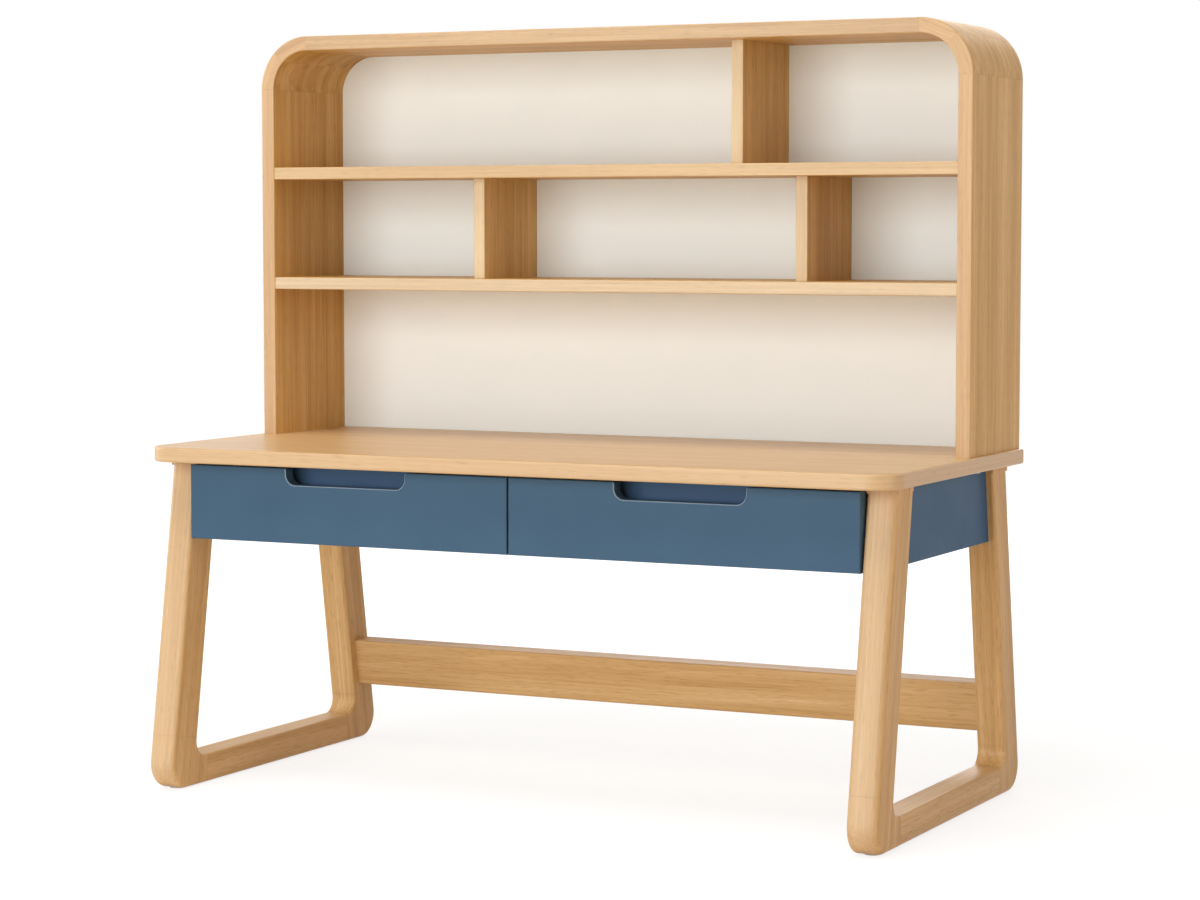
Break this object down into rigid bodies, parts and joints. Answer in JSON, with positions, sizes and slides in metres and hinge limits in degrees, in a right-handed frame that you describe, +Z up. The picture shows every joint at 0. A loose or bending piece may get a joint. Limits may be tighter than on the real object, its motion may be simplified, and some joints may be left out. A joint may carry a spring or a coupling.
{
  "type": "student desk with hutch",
  "caption": "Wooden student desk on splayed loop legs, with an arched open hutch of shelves and dividers and painted drawers with finger-pull cut-outs.",
  "frame": {"origin": "on the floor, midway between the four feet", "axes": "+X to the sitter's right along the width, +Y from the sitter towards the wall, +Z up"},
  "size_m": [1.4, 0.6966, 1.337],
  "materials": {
    "oak": "clear satin lacquer on pale oak",
    "slate_blue_paint": "satin slate-blue paint on board",
    "cream_paint": "matt cream paint on board",
    "drawer_wood": "clear matt lacquer on birch",
    "steel": "zinc-plated steel",
    "nylon": "moulded nylon",
    "dowel_wood": "plain beech"
  },
  "bodies": {
    "desk": {"desktop": "oak", "stretcher": "oak", "rear_apron": "drawer_wood", "centre_partition": "drawer_wood", "frame_dowels": "dowel_wood", "desktop_brackets": "steel", "frame_screws": "steel", "floor_glides": "nylon", "hutch_top": "oak", "hutch_back_panel": "cream_paint", "lower_shelf": "oak", "upper_shelf": "oak", "middle_divider_left": "oak", "middle_divider_right": "oak", "top_divider": "oak", "hutch_corner_dowels": "dowel_wood", "shelving_dowels": "dowel_wood", "back_panel_screws": "steel", "hutch_screws": "steel", "front_leg_left": "oak", "rear_leg_left": "oak", "front_foot_block_left": "oak", "rear_foot_block_left": "oak", "foot_runner_left": "oak", "side_apron_left": "slate_blue_paint", "slide_batten_left": "drawer_wood", "hutch_side_left": "oak", "hutch_corner_lower_left": "oak", "hutch_corner_upper_left": "oak", "left_slide_outer_members": "steel", "front_leg_right": "oak", "rear_leg_right": "oak", "front_foot_block_right": "oak", "rear_foot_block_right": "oak", "foot_runner_right": "oak", "side_apron_right": "slate_blue_paint", "slide_batten_right": "drawer_wood", "hutch_side_right": "oak", "hutch_corner_lower_right": "oak", "hutch_corner_upper_right": "oak", "right_slide_outer_members": "steel"},
    "left_drawer": {"left_drawer_front": "slate_blue_paint", "left_pull_backing": "slate_blue_paint", "left_drawer_side_inner": "drawer_wood", "left_drawer_side_outer": "drawer_wood", "left_drawer_back": "drawer_wood", "left_drawer_bottom": "drawer_wood", "left_slide_inner_members": "steel", "left_drawer_slide_screws": "steel"},
    "left_slide_middles": {"left_slide_middle_members": "steel"},
    "right_drawer": {"right_drawer_front": "slate_blue_paint", "right_pull_backing": "slate_blue_paint", "right_drawer_side_inner": "drawer_wood", "right_drawer_side_outer": "drawer_wood", "right_drawer_back": "drawer_wood", "right_drawer_bottom": "drawer_wood", "right_slide_inner_members": "steel", "right_drawer_slide_screws": "steel"},
    "right_slide_middles": {"right_slide_middle_members": "steel"}
  },
  "joints": [
    {"name": "left_drawer_slide", "type": "slide", "parent": "desk", "child": "left_drawer", "axis": [0, -1, 0], "range_m": [0, 0.4]},
    {"name": "left_slide_extend", "type": "slide", "parent": "desk", "child": "left_slide_middles", "axis": [0, -1, 0], "range_m": [0, 0.2]},
    {"name": "right_drawer_slide", "type": "slide", "parent": "desk", "child": "right_drawer", "axis": [0, -1, 0], "range_m": [0, 0.4]},
    {"name": "right_slide_extend", "type": "slide", "parent": "desk", "child": "right_slide_middles", "axis": [0, -1, 0], "range_m": [0, 0.2]}
  ],
  "couplings": [
    {"joint": "left_slide_extend", "follows": "left_drawer_slide", "ratio": 0.5},
    {"joint": "right_slide_extend", "follows": "right_drawer_slide", "ratio": 0.5}
  ]
}
